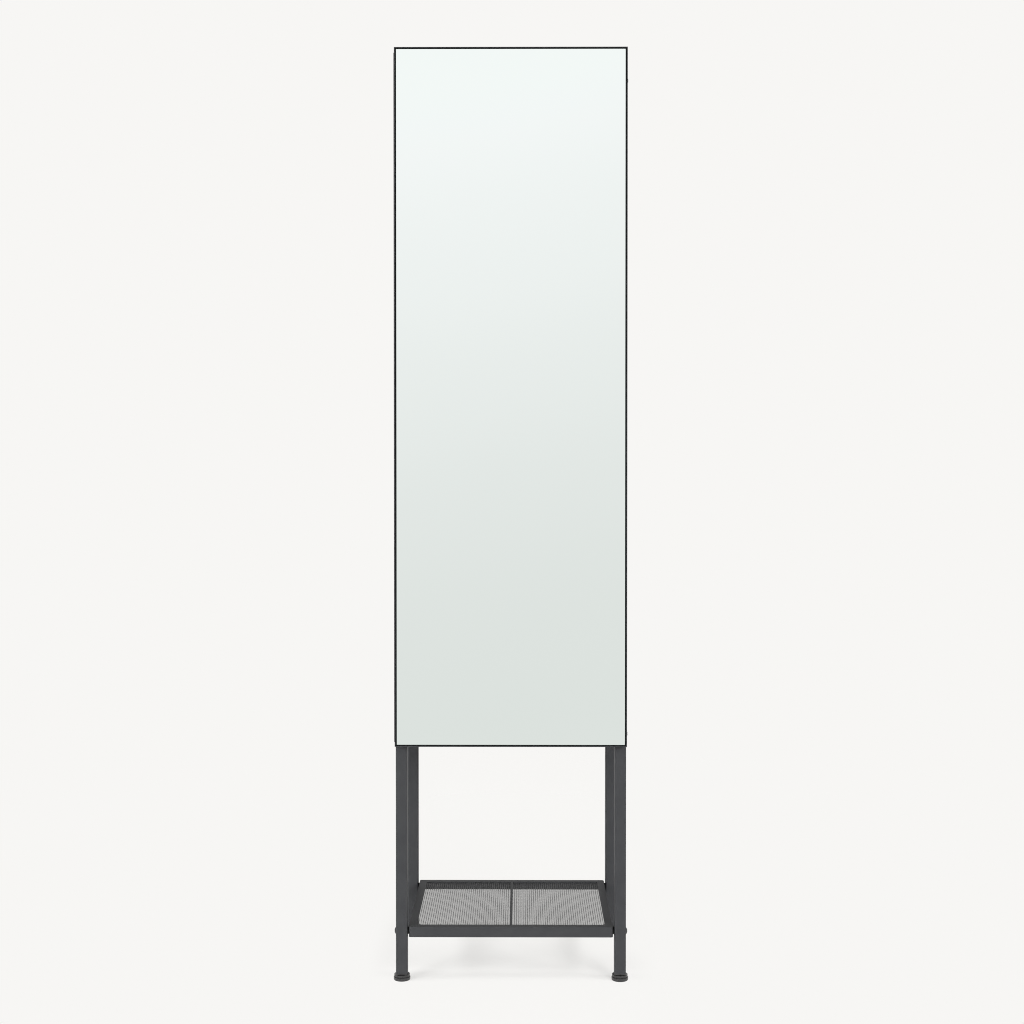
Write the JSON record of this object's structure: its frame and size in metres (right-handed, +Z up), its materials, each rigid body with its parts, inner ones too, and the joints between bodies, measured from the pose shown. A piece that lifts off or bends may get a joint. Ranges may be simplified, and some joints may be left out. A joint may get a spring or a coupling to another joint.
{
  "type": "medicine cabinet with mirror",
  "caption": "Tall free-standing steel medicine cabinet with a full-height mirror door, inner shelves, a mesh tray under the box and levelling feet.",
  "frame": {"origin": "on the floor under the middle of the cabinet, centre of the bounding box's base", "axes": "+Z up, the mirror faces -Y, +X to the right as seen from the front"},
  "size_m": [0.409, 0.3244, 1.612],
  "materials": {
    "powder_coat": "fine-textured satin powder coat, anthracite grey",
    "black_plastic": "moulded matte",
    "rubber": "matte",
    "black_bolts": "black oxide",
    "zinc_steel": "zinc plated",
    "wire_mesh": "fine drawn wire",
    "mirror": "clear float glass, silvered at the back",
    "foam_tape": "foam"
  },
  "bodies": {
    "cabinet": {"post_front_left": "powder_coat", "post_front_right": "powder_coat", "post_rear_left": "powder_coat", "post_rear_right": "powder_coat", "post_caps": "black_plastic", "leg_inserts": "black_plastic", "side_panel_left": "powder_coat", "side_panel_right": "powder_coat", "back_panel": "powder_coat", "top_panel": "powder_coat", "bottom_panel": "powder_coat", "shelf_1": "powder_coat", "shelf_2": "powder_coat", "shelf_3": "powder_coat", "shelf_4": "powder_coat", "shelf_pins": "zinc_steel", "panel_rivets": "powder_coat", "box_spacers": "rubber", "tray_spacers": "rubber", "box_bolts": "black_bolts", "tray_bolts": "black_bolts", "box_nuts": "zinc_steel", "tray_nuts": "zinc_steel", "tray_frame": "powder_coat", "tray_mesh": "wire_mesh", "tray_strip": "powder_coat", "magnet_holders": "black_plastic", "catch_magnets": "zinc_steel", "door_bumpers": "rubber", "hinge_leaf_post": "powder_coat", "hinge_pin": "zinc_steel", "hinge_rivets_post": "powder_coat", "glide_pad_front_left": "black_plastic", "glide_pad_front_right": "black_plastic", "glide_pad_rear_left": "black_plastic", "glide_pad_rear_right": "black_plastic"},
    "door": {"hinge_leaf_door": "powder_coat", "hinge_rivets_door": "powder_coat", "door_frame": "powder_coat", "door_panel": "powder_coat", "door_stiffeners": "powder_coat", "mirror_tapes": "foam_tape", "mirror_glass": "mirror"},
    "screw_front_left": {"foot_screw_front_left": "black_plastic"},
    "screw_front_right": {"foot_screw_front_right": "black_plastic"},
    "screw_rear_left": {"foot_screw_rear_left": "black_plastic"},
    "screw_rear_right": {"foot_screw_rear_right": "black_plastic"}
  },
  "joints": [
    {"name": "door_hinge", "type": "hinge", "parent": "cabinet", "child": "door", "pos_m": [-0.2004, -0.14425, 1.012], "axis": [0, 0, -1], "range_deg": [0, 120]},
    {"name": "foot_turn_front_left", "type": "hinge", "parent": "cabinet", "child": "screw_front_left", "pos_m": [-0.19, -0.13225, 0.0105], "axis": [0, 0, -1], "range_deg": [0, 2304]},
    {"name": "foot_turn_front_right", "type": "hinge", "parent": "cabinet", "child": "screw_front_right", "pos_m": [0.19, -0.13225, 0.0105], "axis": [0, 0, -1], "range_deg": [0, 2304]},
    {"name": "foot_turn_rear_left", "type": "hinge", "parent": "cabinet", "child": "screw_rear_left", "pos_m": [-0.19, 0.14775, 0.0105], "axis": [0, 0, -1], "range_deg": [0, 2304]},
    {"name": "foot_turn_rear_right", "type": "hinge", "parent": "cabinet", "child": "screw_rear_right", "pos_m": [0.19, 0.14775, 0.0105], "axis": [0, 0, -1], "range_deg": [0, 2304]}
  ]
}
